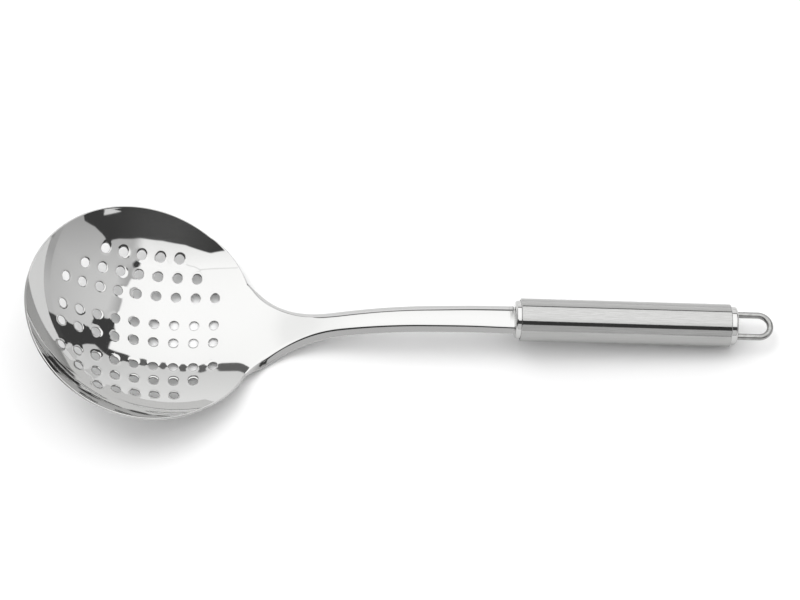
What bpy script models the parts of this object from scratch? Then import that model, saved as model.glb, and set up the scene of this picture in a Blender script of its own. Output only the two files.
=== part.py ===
# Perforated kitchen skimmer in stainless steel. One graded blank is pressed into the dish, the
# neck, the stem and a tang. The tang passes through a turned plug in the front of a tubular
# handle, and a second plug closes the rear and holds a bent-wire loop to hang the skimmer by.
# Metres, +Z up. The skimmer lies on a table at z = 0 with its handle toward +X, touching the
# table under the dish and at the rear end of the handle. The origin is under its middle.

import math

import bmesh
import bpy
from mathutils import Matrix, Vector

# Dish
dish_diameter = 0.110                # outside, across the rim
dish_radius = 0.082                  # radius of the hollow face
sheet = 0.0010                       # thickness of the dish
rim_chamfer = 0.00025                # broken edges of the rim
dish_tilt = math.radians(19.7)       # lean of the rim toward the handle, at rest
floor_exit = math.radians(7.0)       # slope at which the floor runs out into the neck

# Drain holes, in a square grid with a wider step between the middle rows and the outer ones
hole_diameter = 0.0046
hole_pitch = 0.0093
band_step = 0.0138                   # step from the two middle rows to the next row
plain_border = 0.0150                # sheet between the hole centres' limit and the rim
pattern_shift = 0.0018               # pattern centre, toward the handle from the dish's middle

# Neck and stem
neck_angle = math.radians(26.5)      # where the neck leaves the rim, round the dish's axis
neck_flare = 1.06                    # narrowing of the outline there, per length
neck_run = 0.045                     # length over which it narrows to the stem
neck_height = 0.0036                 # top of the neck over the table, at the rim
rise_run = 0.020                     # from the rim to the steepest part of the stem
rise_height = 0.0084
rise_slope = 0.34
crest_back = 0.039                   # from the front plug back to the stem's highest point
crest_height = 0.0194
stem_straight = 0.014                # straight end of the stem at the plug
stem_width = 0.0127                  # at the neck
stem_width_plug = 0.0144             # at the front plug
stem_thickness = 0.0042
bevel_width = 0.0025                 # sloping sides of the stem, seen from above
bevel_width_plug = 0.0022
bevel_drop = 0.00225
bevel_run = 0.010                    # length over which the sides grow out of the rim
thicken_run = 0.018                  # length over which the dish's sheet grows to the stem
edge_land = 0.0003                   # upright edge between the upper and lower sides

# Tang, inside the handle
tang_width = 0.0090
tang_thickness = 0.0030
tang_bevel = 0.0004
tang_stick_out = 0.0020              # past the rear face of the front plug
weld_bead = 0.0014                   # thickness of the weld bead round the tang

# Handle
handle_start = 0.1542                # front end of the tube, from the point where the dish rests
handle_slope = math.radians(3.5)
tube_diameter = 0.0200
tube_wall = 0.0008
tube_length = 0.0982
tube_edge = 0.0005                   # rounding of the tube's ends
plug_show_front = 0.0025             # length of plug that stands out of the tube
plug_show_rear = 0.0031
plug_seat = 0.0120                   # length of plug inside the tube
plug_edge = 0.0013                   # rounding of the plugs' outer edges
bond_width = 0.0040                  # bonded band round each plug, in a groove
bond_depth = 0.0009
bond_inset = 0.0040                  # from the tube's end to the groove

# Hanging loop
wire_diameter = 0.0030
leg_wall = 0.0020                    # from the tube's bore to the loop's legs
loop_reach = 0.0176                  # from the rear plug's face to the tip
leg_stick_out = 0.0020               # past the inner face of the rear plug

# Gap that separates pieces that touch
fit_gap = 0.0003

# Fineness of the round shapes
turned_steps = 48
hole_sides = 12
rim_step = math.radians(7.5)
neck_steps = 11
stem_steps = 9
half_points = 7
edge_arc_steps = 3
bead_turns = 20
bead_sides = 8
straight_below = 0.001               # curvature under which a section is drawn straight
side_share = 0.95                    # most of the thickness that the sloping side takes

# What follows from those sizes
rim_angle = math.asin(dish_diameter / 2 / (dish_radius + sheet - rim_chamfer))
rim_reach = dish_radius * math.sin(rim_angle - dish_tilt)
tube_radius = tube_diameter / 2
bore_radius = tube_radius - tube_wall
plug_radius = bore_radius - fit_gap
wire_radius = wire_diameter / 2
loop_span = 2 * (bore_radius - leg_wall - wire_radius)    # between the middles of the two legs
leg_bead = leg_wall - 2 * fit_gap
axis_along = Vector((math.cos(handle_slope), 0, -math.sin(handle_slope)))
axis_up = Vector((math.sin(handle_slope), 0, math.cos(handle_slope)))
front_height = tube_radius * math.cos(handle_slope) + (tube_length - tube_edge) * math.sin(handle_slope)
tube_front = Vector((handle_start, 0, front_height))
shoulder = tube_front - axis_along * (plug_show_front + fit_gap) + axis_up * (stem_thickness / 2)


def clear_scene():
    for thing in list(bpy.data.objects):
        bpy.data.objects.remove(thing, do_unlink=True)


def new_collection(name):
    group = bpy.data.collections.new(name)
    bpy.context.scene.collection.children.link(group)
    return group


def steel(name, grey, roughness, metallic=1.0):
    material = bpy.data.materials.new(name)
    material.use_nodes = True
    shader = material.node_tree.nodes["Principled BSDF"]
    shader.inputs["Base Color"].default_value = (grey[0], grey[1], grey[2], 1)
    shader.inputs["Roughness"].default_value = roughness
    shader.inputs["Metallic"].default_value = metallic
    return material


def add_object(name, data, group, material=None, parent=None, place=None):
    thing = bpy.data.objects.new(name, data)
    group.objects.link(thing)
    if material:
        data.materials.append(material)
    if parent:
        thing.parent = parent
    if place:
        thing.location = place
    return thing


def make_cutter(name, bm, parent=None):
    mesh = bpy.data.meshes.new(name)
    bm.to_mesh(mesh)
    bm.free()
    thing = add_object(name, mesh, cutters, parent=parent)
    thing.hide_render = True
    thing.display_type = "WIRE"
    return thing


def cut(thing, cutter):
    modifier = thing.modifiers.new(cutter.name, "BOOLEAN")
    modifier.operation = "DIFFERENCE"
    modifier.object = cutter


def smooth_ramp(value, start, end):
    t = min(max((value - start) / (end - start), 0), 1)
    return t * t * (3 - 2 * t)


def blend(a, b, t):
    return a + (b - a) * t


# Height and slope at x of a cubic between two knots, each given as (x, height, slope)
def cubic(x, first, last):
    run = last[0] - first[0]
    t = (x - first[0]) / run
    rise = last[1] - first[1]
    bend_in = first[2] * run - rise
    bend_out = rise - last[2] * run
    height = first[1] + rise * t + t * (1 - t) * (bend_in * (1 - t) + bend_out * t)
    slope = rise + (1 - 2 * t) * (bend_in * (1 - t) + bend_out * t) + t * (1 - t) * (bend_out - bend_in)
    return height, slope / run


# Middle line of the top face, from the middle of the dish to the shoulder at the front plug
def stem_knots():
    leave = (dish_radius * math.sin(floor_exit),
             sheet + dish_radius * (1 - math.cos(floor_exit)),
             math.tan(floor_exit))
    neck = (rim_reach, neck_height, (rise_height - neck_height) / rise_run / 2)
    rise = (rim_reach + rise_run, rise_height, rise_slope)
    crest = (shoulder.x - crest_back, crest_height, 0)
    slope = -math.tan(handle_slope)
    straight = (shoulder.x - stem_straight, shoulder.z - slope * stem_straight, slope)
    end = (shoulder.x, shoulder.z, slope)
    return [leave, neck, rise, crest, straight, end]


def middle_line(x):
    knots = stem_knots()
    if x <= knots[0][0]:
        angle = math.asin(x / dish_radius)
        return sheet + dish_radius * (1 - math.cos(angle)), angle
    for first, last in zip(knots, knots[1:]):
        if x <= last[0] or last is knots[-1]:
            height, slope = cubic(x, first, last)
            return height, math.atan(slope)


# Places along the blade, each with the distance along the middle line and half the width
def dish_outline():
    lowest = math.acos(math.tan(dish_tilt) / math.tan(rim_angle))
    lip = math.pi - rim_step / 2
    back = round((lip - lowest) / rim_step)
    front = max(round((lowest - neck_angle) / rim_step), 1)
    turns = [blend(lip, lowest, i / back) for i in range(back)]
    turns += [blend(lowest, neck_angle, i / front) for i in range(front + 1)]
    outline = []
    for turn in turns:
        angle = math.atan(math.tan(rim_angle) * math.cos(turn)) - dish_tilt
        half = dish_radius * math.asin(math.sin(rim_angle) * math.sin(turn))
        x = dish_radius * math.sin(min(angle, floor_exit))
        x += dish_radius * max(angle - floor_exit, 0) * math.cos(floor_exit)
        outline.append((x, half))
    return outline


def blade_outline():
    outline = dish_outline()
    start = (outline[-1][0], outline[-1][1], -neck_flare)
    taper = (stem_width_plug - stem_width) / 2 / (shoulder.x - start[0] - neck_run)
    end = (start[0] + neck_run, stem_width / 2, taper)
    for i in range(1, neck_steps + 1):
        x = blend(start[0], end[0], i / neck_steps)
        outline.append((x, cubic(x, start, end)[0]))
    straight = shoulder.x - stem_straight
    for i in range(1, stem_steps + 1):
        x = blend(end[0], straight, i / stem_steps)
        outline.append((x, end[1] + taper * (x - end[0])))
    outline.append((shoulder.x, stem_width_plug / 2))
    return outline


# Half of a cross-section as (across, down from the top face), from the middle of the top round
# the upright land of its edge to the middle of the underside
def half_section(half, top, thickness, edge_width, edge_drop, land):
    flat = [(half - edge_width) * i / half_points for i in range(half_points + 1)]
    points = [(u, top) for u in flat]
    points += [(half, top + edge_drop), (half, top + edge_drop + land)]
    points += [(u, top + thickness) for u in reversed(flat)]
    return points


# A ring of points in space for a half section, bent to the dish's curvature across the blade
def section_ring(section, place, height, angle, curvature):
    whole = section + [(-u, m) for u, m in reversed(section[1:-1])]
    ring = []
    for u, m in whole:
        across = u
        up = -m
        if curvature > straight_below:
            across = (1 / curvature + m) * math.sin(u * curvature)
            up = 1 / curvature - (1 / curvature + m) * math.cos(u * curvature)
        ring.append((place - up * math.sin(angle), across, height + up * math.cos(angle)))
    return ring


def blade_rings():
    outline = blade_outline()
    neck_start = dish_outline()[-1][0]
    flat_from = neck_start + neck_run / 2
    rings = []
    for place, half in outline:
        height, angle = middle_line(place)
        grown = smooth_ramp(place, neck_start, neck_start + bevel_run)
        toward_plug = smooth_ramp(place, shoulder.x - crest_back, shoulder.x)
        side_width = blend(bevel_width, bevel_width_plug, toward_plug)
        thick = blend(sheet, stem_thickness, smooth_ramp(place, neck_start, neck_start + thicken_run))
        land = blend(sheet - 2 * rim_chamfer, edge_land, grown)
        side_drop = min(blend(rim_chamfer, bevel_drop, grown), side_share * (thick - land))
        section = half_section(half, 0, thick, blend(rim_chamfer, side_width, grown), side_drop, land)
        curvature = (1 - smooth_ramp(place, neck_start - bevel_run / 2, flat_from)) / dish_radius
        rings.append(section_ring(section, place, height, angle, curvature))
    tang = half_section(tang_width / 2, (stem_thickness - tang_thickness) / 2, tang_thickness,
                        tang_bevel, tang_bevel, tang_thickness - 2 * tang_bevel)
    tang_length = fit_gap + plug_show_front + plug_seat + tang_stick_out
    for along in (0, tang_length):
        point = shoulder + axis_along * along
        rings.append(section_ring(tang, point.x, point.z, -handle_slope, 0))
    return rings


def hole_cutter():
    bm = bmesh.new()
    centre = Vector((0, 0, dish_radius + sheet))
    pole_angle = pattern_shift / dish_radius - dish_tilt
    pole = Vector((math.sin(pole_angle), 0, -math.cos(pole_angle)))
    along = Vector((math.cos(pole_angle), 0, math.sin(pole_angle)))
    limit = dish_radius * rim_angle - plain_border
    reach = int(limit / hole_pitch) + 1
    half_rows = [hole_pitch / 2 + (band_step + (i - 1) * hole_pitch if i else 0) for i in range(reach)]
    rows = [side * row for row in half_rows for side in (1, -1)]
    for row in rows:
        for column in range(-reach, reach + 1):
            flat = Vector((column * hole_pitch, row))
            if flat.length > limit:
                continue
            turn = flat.length / dish_radius
            heading = (along * flat.x + Vector((0, 1, 0)) * flat.y).normalized()
            outward = pole * math.cos(turn) + heading * math.sin(turn)
            middle = centre + outward * (dish_radius + sheet / 2)
            spin = outward.to_track_quat("Z", "Y").to_matrix().to_4x4()
            bmesh.ops.create_cone(bm, cap_ends=True, segments=hole_sides, depth=sheet * 6,
                                  radius1=hole_diameter / 2, radius2=hole_diameter / 2,
                                  matrix=Matrix.Translation(middle) @ spin)
    return make_cutter("drain_holes", bm, root)


# The pressed blade: a loft through the sections, with the drain holes cut square to its surface
def make_blade():
    bm = bmesh.new()
    rings = [[bm.verts.new(point) for point in ring] for ring in blade_rings()]
    for first, last in zip(rings, rings[1:]):
        for i in range(len(first)):
            bm.faces.new((first[i - 1], first[i], last[i], last[i - 1]))
    bm.faces.new(rings[0])
    bm.faces.new(rings[-1])
    bmesh.ops.triangulate(bm, faces=bm.faces)
    bmesh.ops.recalc_face_normals(bm, faces=bm.faces)
    mesh = bpy.data.meshes.new("blade")
    bm.to_mesh(mesh)
    bm.free()
    mesh.shade_smooth()
    mesh.set_sharp_from_angle(angle=math.radians(25))
    thing = add_object("blade", mesh, parts, polished, root)
    cut(thing, hole_cutter())
    return thing


# A turned piece from its profile of (radius, distance along the handle), outer side top to bottom
def turned(name, profile, material, closed=False):
    mesh = bpy.data.meshes.new(name)
    points = [(r, 0, z) for r, z in profile]
    edges = [(i, i + 1) for i in range(len(points) - 1)]
    if closed:
        edges.append((len(points) - 1, 0))
    mesh.from_pydata(points, edges, [])
    thing = add_object(name, mesh, parts, material, handle)
    screw = thing.modifiers.new("turn", "SCREW")
    screw.steps = turned_steps
    screw.render_steps = turned_steps
    screw.use_merge_vertices = True
    screw.merge_threshold = 0.00001
    screw.use_smooth_shade = True
    return thing


# Quarter round from angle a to angle b about a centre, in a profile's own plane
def edge_arc(centre, radius, a, b):
    angles = [math.radians(blend(a, b, i / edge_arc_steps)) for i in range(edge_arc_steps + 1)]
    return [(centre[0] + radius * math.cos(t), centre[1] + radius * math.sin(t)) for t in angles]


def make_tube():
    outer = edge_arc((tube_radius - tube_edge, tube_length - tube_edge), tube_edge, 90, 0)
    outer += edge_arc((tube_radius - tube_edge, tube_edge), tube_edge, 0, -90)
    inner = [(bore_radius, 0), (bore_radius, tube_length)]
    return turned("handle_tube", outer + inner, brushed, closed=True)


# Groove round a plug for its bonded band, between two distances along the handle, top first
def groove(top, bottom):
    floor = plug_radius - bond_depth
    return [(plug_radius, top), (floor, top), (floor, bottom), (plug_radius, bottom)]


def make_front_plug():
    face = -plug_show_front
    profile = [(0, plug_seat), (plug_radius, plug_seat)]
    profile += groove(bond_inset + bond_width, bond_inset)
    profile += edge_arc((plug_radius - plug_edge, face + plug_edge), plug_edge, 0, -90)
    profile += [(0, face)]
    plug = turned("front_plug", profile, polished)
    bm = bmesh.new()
    slot = Matrix.Diagonal((tang_thickness + 2 * fit_gap, tang_width + 2 * fit_gap, 3 * plug_seat, 1))
    bmesh.ops.create_cube(bm, size=1, matrix=slot)
    cut(plug, make_cutter("tang_slot", bm, handle))
    return plug


def make_rear_plug():
    face = tube_length + plug_show_rear
    profile = [(0, face)]
    profile += edge_arc((plug_radius - plug_edge, face - plug_edge), plug_edge, 90, 0)
    profile += groove(tube_length - bond_inset, tube_length - bond_inset - bond_width)
    profile += [(plug_radius, tube_length - plug_seat), (0, tube_length - plug_seat)]
    plug = turned("rear_plug", profile, polished)
    bm = bmesh.new()
    for side in (1, -1):
        bmesh.ops.create_cone(bm, cap_ends=True, segments=turned_steps // 2, depth=3 * plug_seat,
                              radius1=wire_radius + fit_gap, radius2=wire_radius + fit_gap,
                              matrix=Matrix.Translation((0, side * loop_span / 2, tube_length)))
    cut(plug, make_cutter("leg_holes", bm, handle))
    return plug


# Band of bonding compound that fills a plug's groove, between the plug and the tube
def make_bond_ring(name, bottom):
    top = bottom + bond_width
    inner = plug_radius - bond_depth + fit_gap
    profile = [(plug_radius, top - fit_gap), (plug_radius, bottom + fit_gap),
               (inner, bottom + fit_gap), (inner, top - fit_gap)]
    return turned(name, profile, compound, closed=True)


# A round rod along points in the handle's own frame
def rod(name, points, diameter, material, cyclic=False, sides_level=3):
    curve = bpy.data.curves.new(name, "CURVE")
    curve.dimensions = "3D"
    curve.bevel_depth = diameter / 2
    curve.bevel_resolution = sides_level
    curve.use_fill_caps = not cyclic
    spline = curve.splines.new("POLY")
    spline.points.add(len(points) - 1)
    for knot, point in zip(spline.points, points):
        knot.co = (*point, 1)
    spline.use_cyclic_u = cyclic
    spline.use_smooth = True
    return add_object(name, curve, parts, material, handle)


def loop_points():
    face = tube_length + plug_show_rear
    foot = tube_length - plug_seat - leg_stick_out
    bend = loop_span / 2
    middle = face + loop_reach - wire_radius - bend
    turn_steps = turned_steps // 3
    points = [(0, bend, foot)]
    for i in range(turn_steps + 1):
        t = math.pi * i / turn_steps
        points.append((0, bend * math.cos(t), middle + bend * math.sin(t)))
    return points + [(0, -bend, foot)]


# Weld bead round a loop leg, on the inner face of the rear plug
def make_leg_weld(name, side):
    bpy.ops.mesh.primitive_torus_add(major_radius=wire_radius + fit_gap + leg_bead / 2,
                                     minor_radius=leg_bead / 2,
                                     major_segments=bead_turns, minor_segments=bead_sides)
    thing = bpy.context.object
    thing.name = name
    thing.data.name = name
    for group in list(thing.users_collection):
        group.objects.unlink(thing)
    parts.objects.link(thing)
    thing.data.materials.append(weld)
    thing.data.shade_smooth()
    thing.parent = handle
    thing.location = (0, side * loop_span / 2, tube_length - plug_seat - fit_gap - leg_bead / 2)
    return thing


# Weld bead round the tang, on the rear face of the front plug
def make_tang_weld():
    corner = fit_gap + weld_bead / 2
    wide = tang_width / 2
    thick = tang_thickness / 2
    level = plug_seat + corner
    points = []
    for quarter, (x, y) in enumerate(((thick, wide), (-thick, wide), (-thick, -wide), (thick, -wide))):
        for i in range(edge_arc_steps + 1):
            t = math.pi / 2 * (quarter + i / edge_arc_steps)
            points.append((x + corner * math.cos(t), y + corner * math.sin(t), level))
    return rod("tang_weld", points, weld_bead, weld, cyclic=True, sides_level=2)


clear_scene()
parts = new_collection("skimmer")
cutters = new_collection("skimmer_cutters")
polished = steel("polished_steel", (0.80, 0.80, 0.79), 0.05)
brushed = steel("brushed_steel", (0.66, 0.66, 0.65), 0.28)
weld = steel("weld_metal", (0.45, 0.44, 0.43), 0.45)
compound = steel("bonding_compound", (0.10, 0.10, 0.11), 0.60, 0.0)

root = add_object("skimmer_frame", None, parts)
handle = add_object("handle_frame", None, parts, parent=root, place=tube_front)
handle.rotation_euler = (0, math.pi / 2 + handle_slope, 0)

blade = make_blade()
make_front_plug()
make_tube()
make_rear_plug()
rod("hanging_loop", loop_points(), wire_diameter, polished)
make_bond_ring("front_bond_ring", bond_inset)
make_bond_ring("rear_bond_ring", tube_length - bond_inset - bond_width)
make_tang_weld()
make_leg_weld("loop_weld_left", 1)
make_leg_weld("loop_weld_right", -1)

# The whole skimmer is slid along X so that its middle is over the origin
lip = min(vertex.co.x for vertex in blade.data.vertices)
tip = tube_front + axis_along * (tube_length + plug_show_rear + loop_reach - wire_radius)
root.location.x = -(lip + tip.x + wire_radius) / 2
bpy.context.view_layer.update()
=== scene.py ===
# Perforated kitchen skimmer in stainless steel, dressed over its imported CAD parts.
# Metres, +Z up. It lies on a pale floor at z = 0 with its handle toward +X.

import math

import bmesh
import bpy
from mathutils import Matrix, Vector


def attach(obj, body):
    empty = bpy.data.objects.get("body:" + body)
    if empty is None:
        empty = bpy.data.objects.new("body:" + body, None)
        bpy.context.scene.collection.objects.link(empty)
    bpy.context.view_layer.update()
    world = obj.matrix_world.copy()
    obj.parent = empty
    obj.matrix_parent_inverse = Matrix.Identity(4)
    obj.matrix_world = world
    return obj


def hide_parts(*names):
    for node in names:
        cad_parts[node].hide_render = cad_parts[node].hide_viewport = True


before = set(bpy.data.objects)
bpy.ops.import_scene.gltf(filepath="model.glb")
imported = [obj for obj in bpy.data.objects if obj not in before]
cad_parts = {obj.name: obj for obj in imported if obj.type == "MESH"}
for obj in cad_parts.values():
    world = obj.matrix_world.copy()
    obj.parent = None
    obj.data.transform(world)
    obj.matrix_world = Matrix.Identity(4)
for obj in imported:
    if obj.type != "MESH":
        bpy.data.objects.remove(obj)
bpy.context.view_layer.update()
print("frame loaded,", len(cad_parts), "nodes")


# One socket of a node tree. Sums written with it add Math nodes.
class Value:
    def __init__(self, net, socket):
        self.net = net
        self.socket = socket

    def __add__(self, other):
        return self.net.math("ADD", self, other)

    def __sub__(self, other):
        return self.net.math("SUBTRACT", self, other)

    def __mul__(self, other):
        return self.net.math("MULTIPLY", self, other)

    def __truediv__(self, other):
        return self.net.math("DIVIDE", self, other)

    def __pow__(self, other):
        return self.net.math("POWER", self, other)

    def __gt__(self, other):
        return self.net.math("GREATER_THAN", self, other)

    def __lt__(self, other):
        return self.net.math("LESS_THAN", self, other)

    def __radd__(self, other):
        return self.net.math("ADD", other, self)

    def __rsub__(self, other):
        return self.net.math("SUBTRACT", other, self)

    def __rmul__(self, other):
        return self.net.math("MULTIPLY", other, self)


class Net:
    def __init__(self, tree):
        self.tree = tree

    def feed(self, socket, value):
        if isinstance(value, Value):
            self.tree.links.new(value.socket, socket)
        else:
            socket.default_value = value

    # Any node: its settings first, then the values or links of its sockets
    def add(self, kind, settings=None, sockets=None, out=0):
        node = self.tree.nodes.new(kind)
        for name, setting in (settings or {}).items():
            setattr(node, name, setting)
        for name, value in (sockets or {}).items():
            self.feed(node.inputs[name], value)
        return Value(self, node.outputs[out])

    def math(self, operation, *values):
        return self.add("ShaderNodeMath", {"operation": operation}, dict(enumerate(values)))

    def vector(self, operation, *values):
        return self.add("ShaderNodeVectorMath", {"operation": operation}, dict(enumerate(values)))

    def dot(self, first, second):
        node = self.vector("DOT_PRODUCT", first, second).socket.node
        return Value(self, node.outputs["Value"])

    def scaled(self, vector, factor):
        return self.add("ShaderNodeVectorMath", {"operation": "SCALE"}, {0: vector, "Scale": factor})

    # one colour at 0, the other at 1
    def blend(self, amount, first, second):
        return self.add("ShaderNodeMix", {"data_type": "RGBA"}, {0: amount, 6: first, 7: second}, out=2)

    def split(self, vector):
        node = self.add("ShaderNodeSeparateXYZ", None, {0: vector}).socket.node
        return [Value(self, socket) for socket in node.outputs]

    # 0 at low and 1 at high, eased between; low may be the larger
    def ease(self, value, low, high):
        return self.add("ShaderNodeMapRange", {"interpolation_type": "SMOOTHSTEP"},
                        {"Value": value, "From Min": low, "From Max": high})

    # straight pieces between points, flat beyond the first and the last
    def bends(self, value, points):
        total = points[0][1]
        for (start, low), (end, high) in zip(points, points[1:]):
            total = self.range(value, start, end, 0, high - low) + total
        return total

    def range(self, value, low, high, toLow, toHigh):
        return self.add("ShaderNodeMapRange", None, {"Value": value, "From Min": low, "From Max": high,
                                                     "To Min": toLow, "To Max": toHigh})


def startMaterial(name):
    material = bpy.data.materials.new(name)
    material.use_nodes = True
    net = Net(material.node_tree)
    net.shader = material.node_tree.nodes["Principled BSDF"]
    net.place = net.add("ShaderNodeTexCoord", out="Object")
    return material, net


# Values or links for a material's main shader
def dress(net, sockets):
    for name, value in sockets.items():
        net.feed(net.shader.inputs[name], value)


def noise(net, vector, size=1.0, detail=2.0, rough=0.5):
    return net.add("ShaderNodeTexNoise", None,
                   {"Vector": vector, "Scale": size, "Detail": detail, "Roughness": rough})


# Fine lines along one direction, from a noise that is stretched that way
def grain(net, turn, long, fine, detail=3.0):
    turned = net.add("ShaderNodeMapping", None,
                     {"Vector": net.place, "Rotation": turn, "Scale": (long, fine, fine)})
    return noise(net, turned, detail=detail, rough=0.6)


def bumped(net, height, look):
    return net.add("ShaderNodeBump", None,
                   {"Strength": look["bump"], "Distance": look["bumpDepth"], "Height": height})


# A bare metal whose two tones, roughness and bump follow one pattern
def dressMetal(net, pattern, look):
    tone = net.blend(net.ease(pattern, *look["toneSpan"]), *look["tones"])
    rough = net.range(pattern, *look["roughSpan"], *look["rough"])
    dress(net, {"Base Color": tone, "Metallic": 1.0, "Roughness": rough})
    if "bump" in look:
        dress(net, {"Normal": bumped(net, pattern, look)})


# The haze is a dull, streaky film that polishing left in the dish. The stem's bevels are ground, so they
# are darker than the polished faces. The holes' walls are punched and rougher, and their much darker colour
# is also painted shade, standing in for the shade inside the holes. Each span or lean is where a mask
# begins and ends.
mirrorSteel = {"color": (0.54, 0.54, 0.535, 1), "rough": (0.03, 0.065),
               "smear": 26.0, "smearSpan": (0.35, 0.75), "smearShare": 0.6, "smearDetail": 4.0,
               "lineTurn": math.radians(8), "lineLong": 14.0, "lineFine": 1500.0, "lineSpan": (0.4, 0.8),
               "bump": 0.05, "bumpDepth": 0.000004,
               "haze": 0.09, "hazeX": -0.1110, "hazeY": 0.0470, "hazeReachX": 0.030, "hazeReachY": 0.020,
               "hazeFade": (1, 0.1), "hazeTurn": math.radians(5), "hazeLong": 60.0, "hazeFine": 2600.0,
               "hazeStreak": (0.35, 0.65, 0.5, 1),
               "ground": (0.48, 0.48, 0.475, 1), "groundRough": 0.04, "groundLean": (0.86, 0.78),
               "groundPast": (0.004, 0.012),        # metres past the start of the neck
               # the hole walls' colour: partly their punched finish, partly painted shade; the marks beside
               # the plug use it too
               "punchedAndShaded": (0.26, 0.26, 0.255, 1), "punchedRough": 0.25, "punchedLean": (0.75, 0.45),
               "punchedInside": (0.05, 0.10),       # radians in from the rim
               # the marks beside the plug: dressing marks and a painted reflection of the plug
               "markReach": 0.0032, "markSide": (-0.003, 0.002),
               "markFine": 1500.0, "markLong": 140.0, "markSpan": (0.38, 0.52)}


def makeMirrorSteel():
    look = mirrorSteel
    material, net = startMaterial("mirrorSteel")
    x, y, _ = net.split(net.place)
    # wear: smears, and fine lines nearly along the skimmer
    lines = grain(net, (0, 0, look["lineTurn"]), look["lineLong"], look["lineFine"])
    smear = noise(net, net.place, look["smear"], look["smearDetail"])
    wear = (net.ease(smear, *look["smearSpan"]) * look["smearShare"]
            + net.ease(lines, *look["lineSpan"]) * (1 - look["smearShare"]))
    # haze round one place near the rim
    streak = grain(net, (0, 0, look["hazeTurn"]), look["hazeLong"], look["hazeFine"])
    hazeX = (x - look["hazeX"]) / look["hazeReachX"]
    hazeY = (y - look["hazeY"]) / look["hazeReachY"]
    haze = net.ease(net.math("SQRT", hazeX * hazeX + hazeY * hazeY), *look["hazeFade"])
    haze = net.range(streak, *look["hazeStreak"]) * haze
    # the holes' walls, which face across the bowl and carry painted shade on top of their punched finish,
    # and the stem's steep bevels
    facing = net.add("ShaderNodeNewGeometry", out="Normal")
    away = net.vector("NORMALIZE", net.vector("SUBTRACT", net.place, tuple(bowlCentre)))
    punchedAndShaded = net.ease(net.math("ABSOLUTE", net.dot(facing, away)), *look["punchedLean"])
    punchedAndShaded = punchedAndShaded * net.ease(net.dot(away, tuple(bowlPole)), *punchedFrom)
    bevel = net.ease(net.math("ABSOLUTE", net.split(facing)[2]), *look["groundLean"])
    bevel = bevel * net.ease(x, *groundFrom) * (shoulderX > x)
    # marks across the stem where it was dressed beside the plug, and with them a painted reflection of the
    # plug in the stem
    across = net.add("ShaderNodeMapping", None, {
        "Vector": net.place, "Scale": (look["markFine"], look["markLong"], look["markLong"])})
    markAndReflection = net.ease(noise(net, across), *look["markSpan"])
    markAndReflection = markAndReflection * net.ease(x, shoulderX - look["markReach"], shoulderX) * (shoulderX > x)
    markAndReflection = markAndReflection * net.ease(y, *look["markSide"])
    # the painted shade in the hole walls and the painted reflection beside the plug, together
    dark = net.math("MAXIMUM", punchedAndShaded, markAndReflection)
    tone = net.blend(bevel, look["color"], look["ground"])
    dull = bevel * look["groundRough"] + dark * look["punchedRough"]
    dress(net, {"Base Color": net.blend(dark, tone, look["punchedAndShaded"]),
                "Metallic": 1 - haze * look["haze"],
                "Roughness": net.range(wear, 0, 1, *look["rough"]) + dull,
                "Normal": bumped(net, lines, look)})
    return material


# The loop's wire: drawn, then polished, a little darker than the dish
drawnWire = {"tones": ((0.29, 0.29, 0.285, 1), (0.36, 0.36, 0.355, 1)), "toneSpan": (0.3, 0.7),
             "rough": (0.03, 0.06), "roughSpan": (0.25, 0.75),
             "size": 420.0, "detail": 3.0, "bump": 0.04, "bumpDepth": 0.000004}


def makeDrawnWire():
    material, net = startMaterial("drawnWire")
    dressMetal(net, noise(net, net.place, drawnWire["size"], drawnWire["detail"]), drawnWire)
    return material


# The tube, brushed along the handle
satinSteel = {"tones": ((0.365, 0.365, 0.36, 1), (0.415, 0.415, 0.41, 1)), "toneSpan": (0.3, 0.7),
              "rough": (0.06, 0.09), "roughSpan": (0.25, 0.75),
              "lineLong": 10.0, "lineFine": 2600.0, "lineDetail": 4.0, "bump": 0.08, "bumpDepth": 0.000005}


def makeSatinSteel():
    look = satinSteel
    material, net = startMaterial("satinSteel")
    lines = grain(net, (0, -slope, 0), look["lineLong"], look["lineFine"], look["lineDetail"])
    dressMetal(net, lines, look)
    return material


# Weld beads, bare in places and tinted by the heat in others
weldMetal = {"tones": ((0.46, 0.45, 0.44, 1), (0.33, 0.28, 0.24, 1)), "toneSpan": (0.4, 0.7),
             "rough": (0.35, 0.6), "roughSpan": (0.3, 0.7), "size": 900.0}


def makeWeldMetal():
    material, net = startMaterial("weldMetal")
    dressMetal(net, noise(net, net.place, weldMetal["size"]), weldMetal)
    return material


# Cured bonding compound, a little specked
bondBand = {"tones": ((0.09, 0.09, 0.10, 1), (0.14, 0.14, 0.15, 1)),
            "rough": (0.5, 0.7), "roughSpan": (0.3, 0.7), "size": 700.0}


def makeBondBand():
    material, net = startMaterial("bondBand")
    specks = noise(net, net.place, bondBand["size"])
    dress(net, {"Base Color": net.blend(specks, *bondBand["tones"]),
                "Roughness": net.range(specks, *bondBand["roughSpan"], *bondBand["rough"])})
    return material


def addPiece(name, data, material=None):
    piece = bpy.data.objects.new(name, data)
    bpy.context.scene.collection.objects.link(piece)
    if material:
        data.materials.append(material)
    return piece


def meshFrom(name, bm, crease=35):
    bmesh.ops.recalc_face_normals(bm, faces=bm.faces)
    mesh = bpy.data.meshes.new(name)
    bm.to_mesh(mesh)
    bm.free()
    mesh.shade_smooth()
    mesh.set_sharp_from_angle(angle=math.radians(crease))
    return mesh


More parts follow.
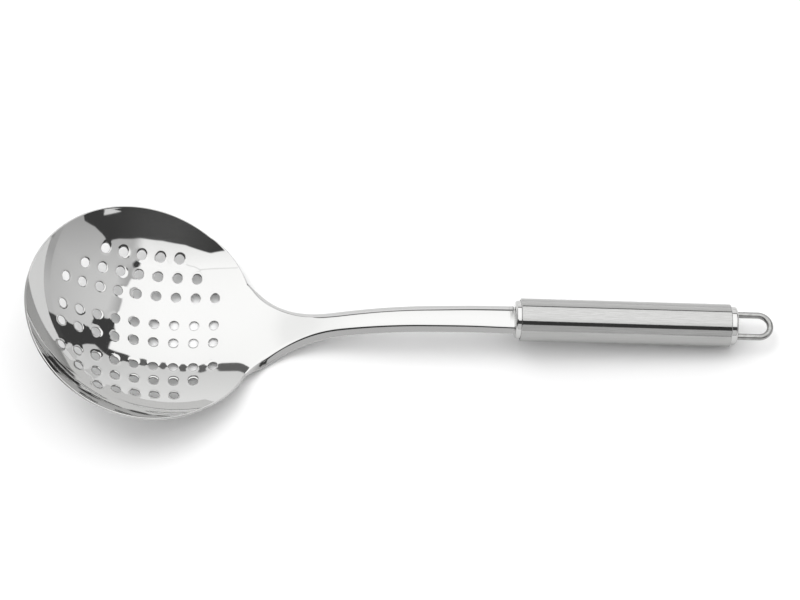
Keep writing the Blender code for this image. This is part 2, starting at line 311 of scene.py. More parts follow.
# Turns what an object shows, modifiers and all, into its own plain mesh
def settle(piece, crease=35):
    shown = piece.evaluated_get(bpy.context.evaluated_depsgraph_get())
    mesh = bpy.data.meshes.new_from_object(shown)
    name = piece.name
    bpy.data.objects.remove(piece)
    mesh.name = name
    mesh.shade_smooth()
    mesh.set_sharp_from_angle(angle=math.radians(crease))
    return addPiece(name, mesh)


def install(piece, node):
    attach(piece, "root")
    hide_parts(node)


def mix(a, b, t):
    return a + (b - a) * t


def easeIn(value, start, end):
    t = min(max((value - start) / (end - start), 0), 1)
    return t * t * (3 - 2 * t)


# Handle: distances run along its axis from the front end of the tube. The dish rests at restX,
# and the tube starts at front, measured from there.
handle = {"restX": -0.10004, "front": 0.1542, "slope": math.radians(3.5),
          "tube": 0.0200, "wall": 0.0008, "length": 0.0982, "tubeEdge": 0.0005,
          "plugFront": 0.0025, "plugRear": 0.0031, "plugSeat": 0.0120, "plugEdge": 0.0013,
          "bandWide": 0.0040, "bandDeep": 0.0009, "bandInset": 0.0040,
          "wire": 0.0030, "legWall": 0.0020, "loopReach": 0.01754, "legPast": 0.0020,
          "gap": 0.0003, "around": 128, "arcSteps": 8, "wireSides": 32, "bendSteps": 64}
slope = handle["slope"]
tubeRadius = handle["tube"] / 2
boreRadius = tubeRadius - handle["wall"]
plugRadius = boreRadius - handle["gap"]
wireRadius = handle["wire"] / 2
legApart = boreRadius - handle["legWall"] - wireRadius      # from the axis to the middle of a leg
axisAlong = Vector((math.cos(slope), 0, -math.sin(slope)))
axisUp = Vector((math.sin(slope), 0, math.cos(slope)))
frontHeight = tubeRadius * math.cos(slope) + (handle["length"] - handle["tubeEdge"]) * math.sin(slope)
tubeFront = Vector((handle["front"], 0, frontHeight))
toWorld = Matrix.Translation((handle["restX"], 0, 0))
handleFrame = toWorld @ Matrix.Translation(tubeFront) @ Matrix.Rotation(math.pi / 2 + slope, 4, "Y")

# Blade: x runs from the point where the dish rests, along the skimmer. A pair that ends in From
# is two distances past the start of the neck, between which that change comes in.
blade = {"across": 0.10987, "hollow": 0.082, "sheet": 0.0010, "rimEdge": 0.00025,
         "tilt": math.radians(19.7), "floorExit": math.radians(7.0),
         "neckTurn": math.radians(26.5), "neckFlare": 1.06, "neckRun": 0.045, "neckHeight": 0.0036,
         "riseRun": 0.020, "riseHeight": 0.0084, "riseSlope": 0.34,
         "crestBack": 0.039, "crestHeight": 0.0194, "straight": 0.014,
         "stemWide": 0.0127, "stemWidePlug": 0.0144, "stemThick": 0.0042,
         "crown": math.radians(15.7), "land": 0.0003,
         "neckBevelWide": 0.0019, "bevelWide": 0.00245, "bevelWidePlug": 0.0022,
         "neckBevelDrop": 0.0033, "bevelDrop": 0.0026,
         "dropShare": 0.95, "wideShare": 0.8,       # most of the thickness and half width for a bevel
         "edgeFrom": (-0.004, 0.005), "flatFrom": (-0.005, 0.0225), "thickFrom": (0, 0.0105),
         "crownFrom": (0.015, 0.036), "stemFrom": (0.026, 0.045),
         "tangWide": 0.0090, "tangThick": 0.0030, "tangEdge": 0.0004, "tangPast": 0.0020,
         "rimSoft": 0.00016, "neckSoft": 0.0014, "shoulderSoft": 0.0008, "edgeSoft": 0.0002,
         "softShare": 0.46, "leastBend": 0.001,
         "rimStep": math.radians(0.85), "neckSteps": 60, "stemSteps": 60,
         "overSteps": 64, "underSteps": 16, "arcSteps": 4}
hollow = blade["hollow"]
rimAngle = math.asin(blade["across"] / 2 / (hollow + blade["sheet"] - blade["rimEdge"]))
rimReach = hollow * math.sin(rimAngle - blade["tilt"])
shoulder = tubeFront - axisAlong * (handle["plugFront"] + handle["gap"]) + axisUp * (blade["stemThick"] / 2)


# Height and slope at x of a cubic between two knots, each (x, height, slope)
def cubic(x, first, last):
    run = last[0] - first[0]
    t = (x - first[0]) / run
    rise = last[1] - first[1]
    bendIn = first[2] * run - rise
    bendOut = rise - last[2] * run
    height = first[1] + rise * t + t * (1 - t) * (bendIn * (1 - t) + bendOut * t)
    lean = rise + (1 - 2 * t) * (bendIn * (1 - t) + bendOut * t) + t * (1 - t) * (bendOut - bendIn)
    return height, lean / run


def stemKnots():
    leave = (hollow * math.sin(blade["floorExit"]),
             blade["sheet"] + hollow * (1 - math.cos(blade["floorExit"])),
             math.tan(blade["floorExit"]))
    climb = blade["riseHeight"] - blade["neckHeight"]
    neck = (rimReach, blade["neckHeight"], climb / blade["riseRun"] / 2)
    rise = (rimReach + blade["riseRun"], blade["riseHeight"], blade["riseSlope"])
    crest = (shoulder.x - blade["crestBack"], blade["crestHeight"], 0)
    lean = -math.tan(slope)
    straight = (shoulder.x - blade["straight"], shoulder.z - lean * blade["straight"], lean)
    return [leave, neck, rise, crest, straight, (shoulder.x, shoulder.z, lean)]


knots = stemKnots()
shoulderX = (toWorld @ shoulder).x
bowlCentre = toWorld @ Vector((0, 0, hollow + blade["sheet"]))
bowlPole = Vector((-math.sin(blade["tilt"]), 0, -math.cos(blade["tilt"])))


# Middle of the top face: its height and the angle at which it climbs
def middleLine(x):
    if x <= knots[0][0]:
        angle = math.asin(x / hollow)
        return blade["sheet"] + hollow * (1 - math.cos(angle)), angle
    for first, last in zip(knots, knots[1:]):
        if x <= last[0] or last is knots[-1]:
            height, lean = cubic(x, first, last)
            return height, math.atan(lean)


def dishOutline():
    lip = math.pi - blade["rimStep"] / 2
    count = round((lip - blade["neckTurn"]) / blade["rimStep"])
    outline = []
    for i in range(count + 1):
        turn = mix(lip, blade["neckTurn"], i / count)
        angle = math.atan(math.tan(rimAngle) * math.cos(turn)) - blade["tilt"]
        half = hollow * math.asin(math.sin(rimAngle) * math.sin(turn))
        x = hollow * math.sin(min(angle, blade["floorExit"]))
        x += hollow * max(angle - blade["floorExit"], 0) * math.cos(blade["floorExit"])
        outline.append((x, half))
    return outline


def bladeOutline():
    outline = dishOutline()
    start = (*outline[-1], -blade["neckFlare"])
    taper = (blade["stemWidePlug"] - blade["stemWide"]) / 2 / (shoulder.x - start[0] - blade["neckRun"])
    end = (start[0] + blade["neckRun"], blade["stemWide"] / 2, taper)
    for i in range(1, blade["neckSteps"] + 1):
        x = mix(start[0], end[0], i / blade["neckSteps"])
        outline.append((x, cubic(x, start, end)[0]))
    for i in range(1, blade["stemSteps"] + 1):
        x = mix(end[0], shoulder.x, i / blade["stemSteps"])
        outline.append((x, end[1] + taper * (x - end[0])))
    return outline, start[0]


def arc(start, corner, end):
    points = []
    for i in range(blade["arcSteps"] + 1):
        t = i / blade["arcSteps"]
        points.append(start * (1 - t) ** 2 + corner * (2 * t * (1 - t)) + end * t ** 2)
    return points


# A corner of a section drawn as a short arc
def softCorner(before, corner, after, soft):
    ends = []
    for other in (before, after):
        side = other - corner
        ends.append(corner + side.normalized() * min(soft, blade["softShare"] * side.length))
    return arc(ends[0], corner, ends[1])


# Half a section as (across, down), from the middle of the top round to the middle of the underside.
# The top is crowned: it leans by the crown's angle where the bevel starts.
def halfSection(half, top, thick, edgeWide, edgeDrop, land, soft, edgeSoft, crown=0):
    wide = half - edgeWide
    sag = wide * math.tan(crown) / 2
    corners = [Vector((wide, top + sag / 2)), Vector((half, top + edgeDrop)),
               Vector((half, top + edgeDrop + land)), Vector((wide, top + thick)), Vector((0, top + thick))]
    bevel = corners[1] - corners[0]
    reach = wide - min(soft, wide / 2)
    over = []
    for i in range(blade["overSteps"] + 1):
        u = reach * i / blade["overSteps"]
        over.append(Vector((u, top - sag / 2 + sag * (u / wide) ** 2)))
    lean = 2 * sag * reach / wide ** 2
    back = (over[-1].y + lean * (wide - reach) - corners[0].y) / (bevel.y - lean * bevel.x)
    end = corners[0] + bevel.normalized() * min(soft, blade["softShare"] * bevel.length)
    arcs = [arc(over[-1], corners[0] + bevel * back, end)]
    for i, rounding in ((1, edgeSoft), (2, edgeSoft), (3, soft)):
        arcs.append(softCorner(corners[i - 1], corners[i], corners[i + 1], rounding))
    steps = blade["underSteps"]
    under = [arcs[3][-1].lerp(corners[4], i / steps) for i in range(1, steps + 1)]
    return over[:-1] + [point for piece in arcs for point in piece] + under


def sectionRing(section, x, height, angle, curvature):
    whole = [(u, m) for u, m in section] + [(-u, m) for u, m in reversed(section[1:-1])]
    ring = []
    for u, m in whole:
        across, up = u, -m
        if curvature > blade["leastBend"]:
            across = (1 / curvature + m) * math.sin(u * curvature)
            up = 1 / curvature - (1 / curvature + m) * math.cos(u * curvature)
        ring.append((x - up * math.sin(angle), across, height + up * math.cos(angle)))
    return ring


def bladeRings():
    outline, neckStart = bladeOutline()

    def eased(x, span):
        return easeIn(x, neckStart + span[0], neckStart + span[1])

    rings = []
    for x, half in outline:
        height, angle = middleLine(x)
        grown = eased(x, blade["edgeFrom"])        # from the dish's thin rim to the neck's bevel
        toStem = eased(x, blade["stemFrom"])
        toPlug = easeIn(x, shoulder.x - blade["crestBack"], shoulder.x)
        bevelWide = mix(blade["neckBevelWide"], blade["bevelWide"], toStem)
        bevelWide = mix(bevelWide, blade["bevelWidePlug"], toPlug)
        bevelDrop = mix(blade["neckBevelDrop"], blade["bevelDrop"], toStem)
        bevelSoft = mix(blade["neckSoft"], blade["shoulderSoft"], toStem)
        thick = mix(blade["sheet"], blade["stemThick"], eased(x, blade["thickFrom"]))
        land = mix(blade["sheet"] - 2 * blade["rimEdge"], blade["land"], grown)
        drop = min(mix(blade["rimEdge"], bevelDrop, grown), blade["dropShare"] * (thick - land))
        edgeWide = min(mix(blade["rimEdge"], bevelWide, grown), blade["wideShare"] * half)
        soft = mix(blade["rimSoft"], bevelSoft, grown)
        crown = blade["crown"] * eased(x, blade["crownFrom"])
        section = halfSection(half, 0, thick, edgeWide, drop, land, soft, blade["edgeSoft"], crown)
        curvature = (1 - eased(x, blade["flatFrom"])) / hollow
        rings.append(sectionRing(section, x, height, angle, curvature))
    edge = blade["tangEdge"]
    tang = halfSection(blade["tangWide"] / 2, (blade["stemThick"] - blade["tangThick"]) / 2,
                       blade["tangThick"], edge, edge, blade["tangThick"] - 2 * edge, edge / 2, edge / 2)
    length = handle["gap"] + handle["plugFront"] + handle["plugSeat"] + blade["tangPast"]
    for along in (0, length):
        point = shoulder + axisAlong * along
        rings.append(sectionRing(tang, point.x, point.z, -slope, 0))
    return rings


# Where the blade's ground tone and the punched hole walls' painted shade come in
neckX = (toWorld @ Vector((bladeOutline()[1], 0, 0))).x
groundFrom = [neckX + past for past in mirrorSteel["groundPast"]]
punchedFrom = [math.cos(rimAngle - inside) for inside in mirrorSteel["punchedInside"]]

# Drain holes: a square grid with a wider step beside the two middle rows. The lip rises above the
# sheet by a share of its depth, and lip and burr flare by a power of the depth into them.
holes = {"pitch": 0.0093, "middleStep": 0.0138, "radius": 0.0023, "border": 0.0150, "shift": 0.0018,
         "lipWide": 0.0006, "lipDeep": 0.00024, "lipAbove": 0.4, "lipPower": 3,
         "burrWide": 0.00025, "burrDeep": 0.0003, "burrPower": 2,
         "dimpleDeep": 0.00009, "dimpleWide": 0.0027, "dimpleTail": 0.06,
         "columns": 11, "rows": 10, "sides": 40, "slices": 18}


# A geometry tree with named inputs: its net, and the inputs by name
def startTree(name, floats, vectors=()):
    tree = bpy.data.node_groups.new(name, "GeometryNodeTree")
    tree.interface.new_socket(name="Geometry", in_out="OUTPUT", socket_type="NodeSocketGeometry")
    wanted = [("Geometry", "NodeSocketGeometry")]
    wanted += [(title, "NodeSocketFloat") for title in floats]
    wanted += [(title, "NodeSocketVector") for title in vectors]
    wanted += [("Material", "NodeSocketMaterial")]
    for title, kind in wanted:
        tree.interface.new_socket(name=title, in_out="INPUT", socket_type=kind)
    net = Net(tree)
    entry = tree.nodes.new("NodeGroupInput")
    return net, {socket.name: Value(net, socket) for socket in entry.outputs}


def endTree(net, mesh, material):
    whole = net.add("GeometryNodeRealizeInstances", None, {0: mesh})
    painted = net.add("GeometryNodeSetMaterial", None, {"Geometry": whole, "Material": material})
    leave = net.tree.nodes.new("NodeGroupOutput")
    net.feed(leave.inputs[0], painted)
    return net.tree


def perforateTree():
    net, given = startTree("perforate", (
        "Pitch", "Middle Step", "Hole Radius", "Reach", "Bowl Radius", "Sheet", "Lip Width", "Lip Depth",
        "Burr Width", "Burr Depth", "Dimple Depth", "Dimple Width"), ("Centre", "Pole", "Along"))
    pitch = given["Pitch"]
    # the flat grid, with its outer rows moved out
    grid = net.add("GeometryNodeMeshGrid", None,
                   {"Size X": pitch * (holes["columns"] - 1), "Size Y": pitch * (holes["rows"] - 1),
                    "Vertices X": holes["columns"], "Vertices Y": holes["rows"]})
    x, y, _ = net.split(net.add("GeometryNodeInputPosition"))
    outer = net.math("ABSOLUTE", y) > pitch
    y = y + net.math("SIGN", y) * outer * (given["Middle Step"] - pitch)
    far = net.math("SQRT", x * x + y * y)
    kept = net.add("GeometryNodeDeleteGeometry", {"domain": "POINT"},
                   {"Geometry": grid, "Selection": far > given["Reach"]})
    # the same places on the bowl, found by a ray from its centre
    turn = far / given["Bowl Radius"]
    heading = net.vector("ADD", net.scaled(given["Along"], x / far), net.scaled((0, 1, 0), y / far))
    outward = net.vector("ADD", net.scaled(given["Pole"], net.math("COSINE", turn)),
                         net.scaled(heading, net.math("SINE", turn)))
    held = net.add("GeometryNodeStoreNamedAttribute", {"data_type": "FLOAT_VECTOR", "domain": "POINT"},
                   {"Geometry": kept, "Name": "outward", "Value": outward})
    outward = net.add("GeometryNodeInputNamedAttribute", {"data_type": "FLOAT_VECTOR"}, {"Name": "outward"})
    ray = net.add("GeometryNodeRaycast", None,
                  {"Target Geometry": given["Geometry"], "Source Position": given["Centre"],
                   "Ray Direction": outward}, out="Hit Position")
    spots = net.add("GeometryNodeSetPosition", None, {"Geometry": held, "Position": ray})
    # the sheet, drawn down a little round each hole
    near = net.add("GeometryNodeProximity", {"target_element": "POINTS"}, {0: spots}, out="Distance")
    place = net.add("GeometryNodeInputPosition")
    away = net.vector("NORMALIZE", net.vector("SUBTRACT", place, given["Centre"]))
    near = near / given["Dimple Width"]
    drawn = net.math("MAXIMUM", net.math("EXPONENT", near * near * -1) - holes["dimpleTail"], 0.0)
    drawn = drawn * given["Dimple Depth"]
    sheet = net.add("GeometryNodeSetPosition", None,
                    {"Geometry": given["Geometry"], "Offset": net.scaled(away, drawn)})
    # the punch: a round bar that widens into a soft lip above and a small burr below
    line = net.add("GeometryNodeCurvePrimitiveLine", None, {
        "Start": net.add("ShaderNodeCombineXYZ", None, {"Z": given["Lip Depth"] * -holes["lipAbove"]}),
        "End": net.add("ShaderNodeCombineXYZ", None, {"Z": given["Sheet"] + given["Burr Depth"]})})
    line = net.add("GeometryNodeResampleCurve", None, {"Curve": line, "Count": holes["slices"]})
    depth = net.split(net.add("GeometryNodeInputPosition"))[2]
    lip = net.math("MAXIMUM", (given["Lip Depth"] - depth) / given["Lip Depth"], 0.0)
    burr = net.math("MAXIMUM", (depth - given["Sheet"] + given["Burr Depth"]) / given["Burr Depth"], 0.0)
    wide = given["Hole Radius"] + given["Lip Width"] * lip ** holes["lipPower"]
    wide = wide + given["Burr Width"] * burr ** holes["burrPower"]
    ring = net.add("GeometryNodeCurvePrimitiveCircle", None, {"Resolution": holes["sides"], "Radius": 1.0})
    punch = net.add("GeometryNodeCurveToMesh", None,
                    {"Curve": line, "Profile Curve": ring, "Scale": wide, "Fill Caps": True})
    facing = net.add("FunctionNodeAlignRotationToVector", {"axis": "Z"}, {"Vector": outward})
    punches = net.add("GeometryNodeInstanceOnPoints", None,
                      {"Points": spots, "Instance": punch, "Rotation": facing})
    punches = net.add("GeometryNodeRealizeInstances", None, {0: punches})
    cutSheet = net.add("GeometryNodeMeshBoolean", {"operation": "DIFFERENCE", "solver": "MANIFOLD"},
                       {"Mesh 1": sheet, "Mesh 2": punches})
    return endTree(net, cutSheet, given["Material"])


def useTree(piece, tree, values):
    modifier = piece.modifiers.new(tree.name, "NODES")
    modifier.node_group = tree
    for item in tree.interface.items_tree:
        if item.in_out == "INPUT" and item.name in values:
            modifier[item.identifier] = values[item.name]


def makeBlade(material):
    bm = bmesh.new()
    rings = [[bm.verts.new(toWorld @ Vector(point)) for point in ring] for ring in bladeRings()]
    for first, last in zip(rings, rings[1:]):
        for i in range(len(first)):
            bm.faces.new((first[i - 1], first[i], last[i], last[i - 1]))
    bm.faces.new(rings[0])
    bm.faces.new(rings[-1])
    piece = addPiece("skimmerBlade", meshFrom("skimmerBlade", bm), material)
    poleAngle = holes["shift"] / hollow - blade["tilt"]
    useTree(piece, perforateTree(), {
        "Pitch": holes["pitch"], "Middle Step": holes["middleStep"], "Hole Radius": holes["radius"],
        "Reach": hollow * rimAngle - holes["border"], "Bowl Radius": hollow, "Sheet": blade["sheet"],
        "Lip Width": holes["lipWide"], "Lip Depth": holes["lipDeep"],
        "Burr Width": holes["burrWide"], "Burr Depth": holes["burrDeep"],
        "Dimple Depth": holes["dimpleDeep"], "Dimple Width": holes["dimpleWide"],
        "Centre": bowlCentre,
        "Pole": (math.sin(poleAngle), 0, -math.cos(poleAngle)),
        "Along": (math.cos(poleAngle), 0, math.sin(poleAngle)), "Material": material})
    return settle(piece)


# A turned piece from its profile of (radius, along the handle)
def lathe(name, profile, material, closed=False):
    bm = bmesh.new()
    count = handle["around"]
    rows = []
    for radius, along in profile:
        if radius == 0:
            rows.append([bm.verts.new(handleFrame @ Vector((0, 0, along)))])
            continue
        row = []
        for i in range(count):
            t = 2 * math.pi * i / count
            spot = Vector((radius * math.cos(t), radius * math.sin(t), along))
            row.append(bm.verts.new(handleFrame @ spot))
        rows.append(row)
    pairs = list(zip(rows, rows[1:]))
    if closed:
        pairs.append((rows[-1], rows[0]))
    for first, last in pairs:
        for i in range(count):
            corners = []
            for row, j in ((first, i - 1), (first, i), (last, i), (last, i - 1)):
                vertex = row[j % len(row)]
                if vertex not in corners:
                    corners.append(vertex)
            bm.faces.new(corners)
    return addPiece(name, meshFrom(name, bm), material)


def roundEdge(centre, radius, a, b):
    points = []
    for i in range(handle["arcSteps"] + 1):
        t = math.radians(mix(a, b, i / handle["arcSteps"]))
        points.append((centre[0] + radius * math.cos(t), centre[1] + radius * math.sin(t)))
    return points


def makeTube(material):
    edge = handle["tubeEdge"]
    length = handle["length"]
    profile = roundEdge((tubeRadius - edge, length - edge), edge, 90, 0)
    profile += roundEdge((tubeRadius - edge, edge), edge, 0, -90)
    profile += [(boreRadius, 0), (boreRadius, length)]
    return lathe("handleTube", profile, material, closed=True)


def bandGroove(top, bottom):
    floor = plugRadius - handle["bandDeep"]
    return [(plugRadius, top), (floor, top), (floor, bottom), (plugRadius, bottom)]


def cutWith(piece, cutter):
    modifier = piece.modifiers.new("cut", "BOOLEAN")
    modifier.operation = "DIFFERENCE"
    modifier.object = cutter
    finished = settle(piece)
    bpy.data.objects.remove(cutter)
    return finished


def makeFrontPlug(material):
    edge = handle["plugEdge"]
    face = -handle["plugFront"]
    seat = handle["plugSeat"]
    profile = [(0, seat), (plugRadius, seat)]
    profile += bandGroove(handle["bandInset"] + handle["bandWide"], handle["bandInset"])
    profile += roundEdge((plugRadius - edge, face + edge), edge, 0, -90)
    profile += [(0, face)]
    plug = lathe("frontPlug", profile, material)
    bm = bmesh.new()
    room = 2 * handle["gap"]
    slot = Matrix.Diagonal((blade["tangThick"] + room, blade["tangWide"] + room, 3 * seat, 1))
    bmesh.ops.create_cube(bm, size=1, matrix=handleFrame @ slot)
    return cutWith(plug, addPiece("tangSlot", meshFrom("tangSlot", bm)))


def makeRearPlug(material):
    edge = handle["plugEdge"]
    length = handle["length"]
    face = length + handle["plugRear"]
    seat = length - handle["plugSeat"]
    profile = [(0, face)]
    profile += roundEdge((plugRadius - edge, face - edge), edge, 90, 0)
    profile += bandGroove(length - handle["bandInset"], length - handle["bandInset"] - handle["bandWide"])
    profile += [(plugRadius, seat), (0, seat)]
    plug = lathe("rearPlug", profile, material)
    bm = bmesh.new()
    for side in (1, -1):
        bmesh.ops.create_cone(bm, cap_ends=True, segments=handle["wireSides"], depth=3 * handle["plugSeat"],
                              radius1=wireRadius + handle["gap"], radius2=wireRadius + handle["gap"],
                              matrix=handleFrame @ Matrix.Translation((0, side * legApart, length)))
    return cutWith(plug, addPiece("legHoles", meshFrom("legHoles", bm)))


def wireTree():
    net, given = startTree("bentWire", ["Wire Radius"])
    ring = net.add("GeometryNodeCurvePrimitiveCircle", None,
                   {"Resolution": handle["wireSides"], "Radius": given["Wire Radius"]})
    wire = net.add("GeometryNodeCurveToMesh", None,
                   {"Curve": given["Geometry"], "Profile Curve": ring, "Fill Caps": True})
    return endTree(net, wire, given["Material"])


def makeLoop(material):
    face = handle["length"] + handle["plugRear"]
    foot = handle["length"] - handle["plugSeat"] - handle["legPast"]
    middle = face + handle["loopReach"] - wireRadius - legApart
    steps = handle["bendSteps"]
    points = [(0, legApart, foot)]
    for i in range(steps + 1):
        t = math.pi * i / steps
        points.append((0, legApart * math.cos(t), middle + legApart * math.sin(t)))
    points.append((0, -legApart, foot))
    curve = bpy.data.curves.new("hangingLoop", "CURVE")
    curve.dimensions = "3D"
    spline = curve.splines.new("POLY")
    spline.points.add(len(points) - 1)
    for knot, point in zip(spline.points, points):
        knot.co = (*(handleFrame @ Vector(point)), 1)
    piece = addPiece("hangingLoop", curve)
    useTree(piece, wireTree(), {"Wire Radius": wireRadius, "Material": material})
    return settle(piece)


mirror = makeMirrorSteel()
satin = makeSatinSteel()
wire = makeDrawnWire()
weld = makeWeldMetal()
band = makeBondBand()
print("materials made")
install(makeBlade(mirror), "blade")
print("blade made, with its drain holes")
install(makeTube(satin), "handle_tube")
install(makeFrontPlug(mirror), "front_plug")
install(makeRearPlug(mirror), "rear_plug")
install(makeLoop(wire), "hanging_loop")
print("handle made")
# the joints inside the handle keep their CAD shapes
for name, material in (("tang_weld", weld), ("loop_weld_left", weld), ("loop_weld_right", weld),
                       ("front_bond_ring", band), ("rear_bond_ring", band)):
    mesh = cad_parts[name].data
    mesh.materials.clear()
    mesh.materials.append(material)


# Studio: what the steel mirrors, by degrees from straight up toward +X (u) and toward +Y (v).
# A row of points is an edge or a line of tones; a pair is where a change begins and ends, and four
# numbers are such a pair and the tones at its two ends.
studio = {"over": (-0.5, 0.5), "under": (0.5, -0.5),
          "boxRight": [(-17, 31), (3, 37), (26, 40), (50, 41)], "boxBlur": (-15, -18, 0.7, 5),
          "boxFar": [(-34, 48.8), (-25, 49.4), (-12, 50), (0, 49.3), (20, 48.6), (35, 48.2)],
          "boxFarBlur": (0.4, -0.4), "boxNear": (-16.6, -16), "boxLeft": (-40, -46), "leftGlow": 0.45,
          "boxMiddle": (0, 12), "boxGlow": (15, 45, 1.77, 1.68), "boxFade": (-24, -33, 1, 0.92),
          "panelNear": [(-50, -14), (-25, -23), (0, -32), (15, -34), (30, -34), (38, -33)],
          "panelFar": (-16, -16.6), "panelGlow": (-32, -17, 1.39, 1.66),
          "seamLine": [(-30, -11), (-25.5, -13), (-23, -16), (-10, -16), (-6, -18), (3, -20), (26, -20)],
          "seamWide": (0.45, 0.1), "seamEnd": (12, 4), "seamDark": 0.3,
          "nearEdge": [(-12, -51.5), (5, -54), (40, -55), (60, -58)], "nearGlow": 0.80,
          "wedgeTip": (46, -48.8), "wedgeSlants": (0.015, 0.48), "wedgeBlur": 0.3,
          "wedgeEnd": (59.2, 58.8), "wedgeGlow": 1.08,
          "farEdge": [(-38, 49), (-37, 51.3), (-30, 52.2), (-24, 54.5), (-12, 57), (0, 55.6), (15, 54.6),
                      (41, 53.8), (45, 51.3), (49, 49.5), (53, 51.9), (58, 57.5), (66, 62.5), (70, 63),
                      (76, 59.5), (83, 54.5)],
          "farGlow": (54, 80, 0.89, 1.08),
          "sideFar": [(42, 24.5), (53, 29), (55, 37), (65, 43), (75, 48.6), (83, 54)],
          "sideNear": [(31, -33.5), (45, -30.5), (53, -27), (58, -30), (64, -32.5), (73, -33), (75, -37)],
          "sideGlow": [(45, 1), (60, 0.94), (75, 0.84), (85, 0.77), (98, 0.62)],
          "sideFall": [(-32, 0.68), (-3, 0.96), (15, 1)],
          "sideShade": (-18, -12), "sideShadeAlong": (0, 8, 0.4, 0),
          "corner": (31.5, -16), "cornerReach": (1.5, 3.5),
          "dark": 0.08, "farLift": (-20, 20), "farLiftAlong": (20, 36, 0.13, 0),
          "cardPlace": (0.25, 0.2, 0), "cardHalf": (0.037, 0.9),
          "cardTones": [(0.035, 0.62), (0.070, 0.70), (0.141, 0.84), (0.241, 0.85),
                        (0.247, 0.1), (0.340, 0.1), (0.352, 0.9)],
          "floor": 0.90, "floorHalf": 6, "floorDrop": 0.00005,
          "lamp": 0.55, "lampAngle": math.radians(30), "lampFrom": (-0.35, 0.25, 0.90)}


def makeWorld():
    world = bpy.data.worlds.new("studio")
    world.use_nodes = True
    bpy.context.scene.world = world
    net = Net(world.node_tree)
    x, y, z = net.split(net.add("ShaderNodeTexCoord", out="Generated"))
    fromUp = net.math("ARCCOSINE", z) * math.degrees(1)
    level = net.math("MAXIMUM", net.math("SQRT", x * x + y * y), 0.0001)    # never 0, to divide by
    u = fromUp * x / level
    v = fromUp * y / level

    def past(edge, span):
        return net.ease(v - net.bends(u, studio[edge]), *studio[span])

    def farFrom(place):
        across, along = u - studio[place][0], v - studio[place][1]
        return net.math("SQRT", across * across + along * along)

    # the big softbox overhead, brightest in its middle and dim beyond its left end
    right = u - net.bends(v, studio["boxRight"])
    inside = net.ease(right / net.range(v, *studio["boxBlur"]), 1, -1)
    softbox = inside * net.ease(v, *studio["boxNear"]) * past("boxFar", "boxFarBlur")
    left = softbox * net.ease(u, *studio["boxLeft"])
    softbox = softbox - left
    glow = net.range(farFrom("boxMiddle"), *studio["boxGlow"]) * net.range(u, *studio["boxFade"])
    # a panel between it and the camera, with a seam
    panel = inside * net.ease(v, *studio["panelFar"]) * past("panelNear", "over")
    offSeam = net.math("ABSOLUTE", v - net.bends(u, studio["seamLine"]))
    seam = net.ease(offSeam, *studio["seamWide"]) * net.ease(u, *studio["seamEnd"]) * studio["seamDark"]
    # the wall behind the camera, and a thin reflector in the dark gap above that
    near = past("nearEdge", "under")
    tipU, tipV = studio["wedgeTip"]
    low, high = [v - (u - tipU) * slant - tipV for slant in studio["wedgeSlants"]]
    wedge = net.ease(low, 0, studio["wedgeBlur"]) * net.ease(high, studio["wedgeBlur"], 0)
    wedge = wedge * net.ease(u, *studio["wedgeEnd"])
    # walls on the far side and at the right, with a dark corner between them
    far = past("farEdge", "over")
    side = (1 - inside) * past("sideFar", "under") * past("sideNear", "over")
    shade = net.ease(v, *studio["sideShade"]) * net.range(right, *studio["sideShadeAlong"])
    sideGlow = net.bends(u, studio["sideGlow"]) * net.bends(v, studio["sideFall"]) * (1 - shade)
    lift = net.ease(v, *studio["farLift"]) * net.range(u, *studio["farLiftAlong"]) + studio["dark"]
    tone = softbox * (glow - lift) + left * studio["leftGlow"] + panel * net.range(v, *studio["panelGlow"])
    tone = tone * (1 - seam) + far * net.range(v, *studio["farGlow"]) + side * sideGlow
    tone = tone + near * studio["nearGlow"] + wedge * studio["wedgeGlow"]
    tone = tone * net.ease(farFrom("corner"), *studio["cornerReach"]) + lift
    net.feed(world.node_tree.nodes["Background"].inputs["Color"], tone)


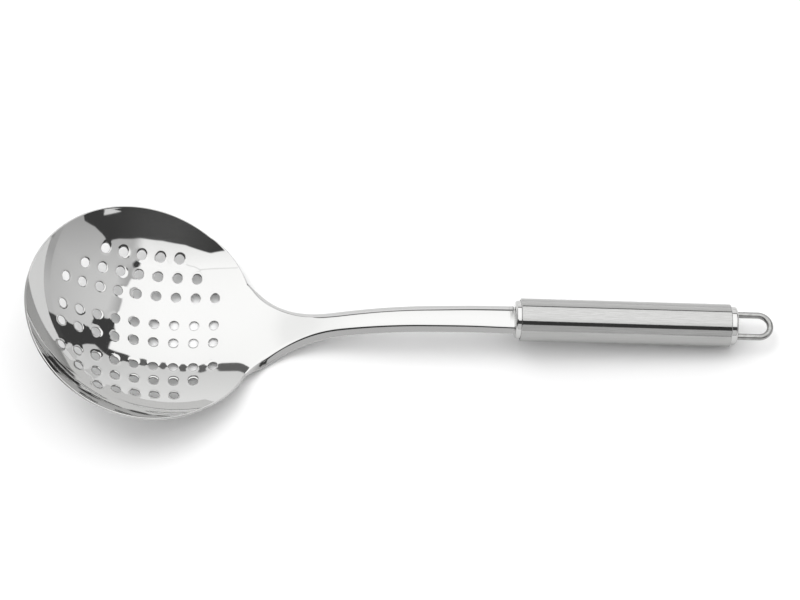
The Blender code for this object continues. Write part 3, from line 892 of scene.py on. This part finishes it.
# A low card at the right that glows in grey tones and carries the walls down to the floor, seen only in the
# steel's reflections
def makeCard():
    bm = bmesh.new()
    bmesh.ops.create_grid(bm, x_segments=1, y_segments=1, size=1)
    upright = Matrix.Translation(studio["cardPlace"]) @ Matrix.Rotation(-math.pi / 2, 4, "Y")
    bmesh.ops.transform(bm, verts=bm.verts, matrix=upright @ Matrix.Diagonal((*studio["cardHalf"], 1, 1)))
    material, net = startMaterial("glowingCard")
    tone = net.bends(net.split(net.place)[1], studio["cardTones"])
    glow = net.add("ShaderNodeEmission", None, {"Color": tone})
    net.feed(material.node_tree.nodes["Material Output"].inputs["Surface"], glow)
    card = addPiece("glowingCard", meshFrom("glowingCard", bm), material)
    card.visible_camera = False
    card.visible_diffuse = False
    card.visible_shadow = False


def makeFloor():
    bm = bmesh.new()
    bmesh.ops.create_grid(bm, x_segments=1, y_segments=1, size=studio["floorHalf"])
    material, net = startMaterial("paleFloor")
    dress(net, {"Base Color": (studio["floor"],) * 3 + (1,), "Roughness": 1.0, "Specular IOR Level": 0.0})
    floor = addPiece("floor", meshFrom("floor", bm), material)
    floor.location.z = -studio["floorDrop"]
    # a lamp for the floor alone, which gives the shadow its direction
    lamp = bpy.data.lights.new("floorLamp", "SUN")
    lamp.energy = studio["lamp"]
    lamp.angle = studio["lampAngle"]
    thing = addPiece("floorLamp", lamp)
    thing.rotation_euler = Vector(studio["lampFrom"]).to_track_quat("Z", "Y").to_euler()
    lit = bpy.data.collections.new("litFloor")
    lit.objects.link(floor)
    thing.light_linking.receiver_collection = lit


# Camera: a long lens, tipped up from straight down
camera = {"sensor": 36, "lens": 122.44, "place": (-0.0016, -0.5837, 1.1379), "tip": math.radians(27.9)}


def makeCamera():
    data = bpy.data.cameras.new("camera")
    data.sensor_width = camera["sensor"]
    data.lens = camera["lens"]
    thing = addPiece("camera", data)
    thing.location = camera["place"]
    thing.rotation_euler = (camera["tip"], 0, 0)
    bpy.context.scene.camera = thing


makeWorld()
makeFloor()
makeCard()
makeCamera()
bpy.context.scene.view_settings.view_transform = "Standard"
print("studio set")
